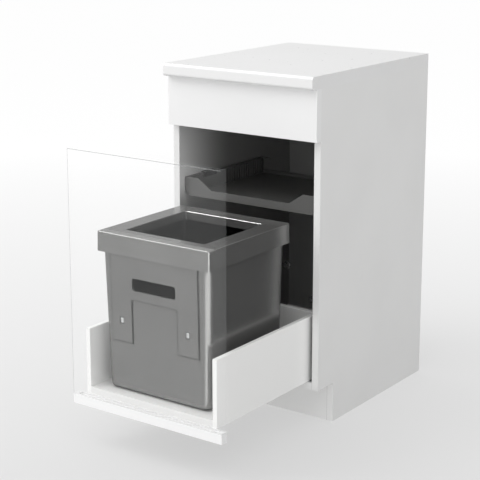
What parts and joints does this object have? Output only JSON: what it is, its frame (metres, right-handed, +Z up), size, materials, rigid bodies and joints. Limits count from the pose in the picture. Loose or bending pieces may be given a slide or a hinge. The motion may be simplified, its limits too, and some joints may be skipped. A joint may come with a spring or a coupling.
{
  "type": "pull-out waste bin cabinet",
  "caption": "White kitchen base cabinet with a clear-fronted pull-out drawer that carries a grey waste bin with a bag ring, under a dark shelf tray.",
  "frame": {"origin": "on the floor, in the middle of the width and half way between the clear front's face, as stored with the drawer out, and the rear edges of the carcass", "axes": "+X to the right seen from the front, +Y towards the wall behind, +Z up"},
  "size_m": [0.45, 0.939, 0.898],
  "materials": {
    "white_board": "satin",
    "white_front": "satin",
    "worktop": "satin",
    "beech": "matte",
    "zinc_steel": "satin",
    "white_steel": "satin",
    "clear_front": "gloss",
    "white_rail": "satin",
    "grey_plastic": "satin",
    "clip_plastic": "gloss",
    "black_plastic": "satin",
    "tray_plastic": "satin",
    "roller_plastic": "satin"
  },
  "bodies": {
    "cabinet": {"side_panel_left": "white_board", "side_panel_right": "white_board", "bottom_panel": "white_board", "plinth_board": "white_board", "front_rail": "white_board", "rear_rail": "white_board", "cross_rail": "white_board", "back_panel": "white_board", "worktop": "worktop", "fascia_panel": "white_front", "carcass_dowels": "beech", "carcass_screws": "zinc_steel", "cabinet_rail_left": "zinc_steel", "cabinet_rail_right": "zinc_steel", "runner_screws": "zinc_steel", "tray_guide_left": "black_plastic", "tray_guide_right": "black_plastic", "guide_screws": "zinc_steel", "touch_latch": "black_plastic", "latch_screws": "zinc_steel"},
    "lower_cages": {"lower_cage_left": "roller_plastic", "lower_cage_right": "roller_plastic", "lower_rollers_left": "roller_plastic", "lower_rollers_right": "roller_plastic"},
    "middle_rails": {"middle_rail_left": "zinc_steel", "middle_rail_right": "zinc_steel"},
    "upper_cages": {"upper_cage_left": "roller_plastic", "upper_cage_right": "roller_plastic", "upper_rollers_left": "roller_plastic", "upper_rollers_right": "roller_plastic"},
    "drawer": {"drawer_side_left": "white_steel", "drawer_side_right": "white_steel", "drawer_bottom": "white_board", "drawer_back": "white_board", "front_bracket_left": "white_steel", "front_bracket_right": "white_steel", "rear_bracket_left": "white_steel", "rear_bracket_right": "white_steel", "front_pane": "clear_front", "front_base_rail": "white_rail", "drawer_screws": "zinc_steel", "drawer_rail_left": "zinc_steel", "drawer_rail_right": "zinc_steel", "rail_rivets": "zinc_steel"},
    "bin": {"bin_body": "grey_plastic", "bin_apron": "grey_plastic", "apron_clips": "clip_plastic", "bin_knobs": "black_plastic"},
    "bag_ring": {"bag_ring": "grey_plastic"},
    "tray": {"tray": "tray_plastic", "tray_clip_left": "black_plastic", "tray_clip_right": "black_plastic"},
    "latch_plunger": {"latch_plunger": "roller_plastic"}
  },
  "joints": [
    {"name": "drawer_slide", "type": "slide", "parent": "cabinet", "child": "drawer", "axis": [0, -1, 0], "range_m": [-0.3825, 0.046]},
    {"name": "lower_cage_slide", "type": "slide", "parent": "cabinet", "child": "lower_cages", "axis": [0, -1, 0], "range_m": [-0.09563, 0.0115]},
    {"name": "middle_rail_slide", "type": "slide", "parent": "cabinet", "child": "middle_rails", "axis": [0, -1, 0], "range_m": [-0.19125, 0.023]},
    {"name": "upper_cage_slide", "type": "slide", "parent": "cabinet", "child": "upper_cages", "axis": [0, -1, 0], "range_m": [-0.28687, 0.0345]},
    {"name": "bin_lift", "type": "slide", "parent": "drawer", "child": "bin", "axis": [0, 0, 1], "range_m": [0, 0.6]},
    {"name": "bag_ring_lift", "type": "slide", "parent": "bin", "child": "bag_ring", "axis": [0, 0, 1], "range_m": [0, 0.08]},
    {"name": "tray_slide", "type": "slide", "parent": "cabinet", "child": "tray", "axis": [0, -1, 0], "range_m": [0, 0.25]},
    {"name": "latch_plunger_slide", "type": "slide", "parent": "cabinet", "child": "latch_plunger", "axis": [0, -1, 0], "range_m": [0, 0.035]}
  ],
  "couplings": [
    {"joint": "lower_cage_slide", "follows": "drawer_slide", "ratio": 0.25},
    {"joint": "middle_rail_slide", "follows": "drawer_slide", "ratio": 0.5},
    {"joint": "upper_cage_slide", "follows": "drawer_slide", "ratio": 0.75}
  ]
}
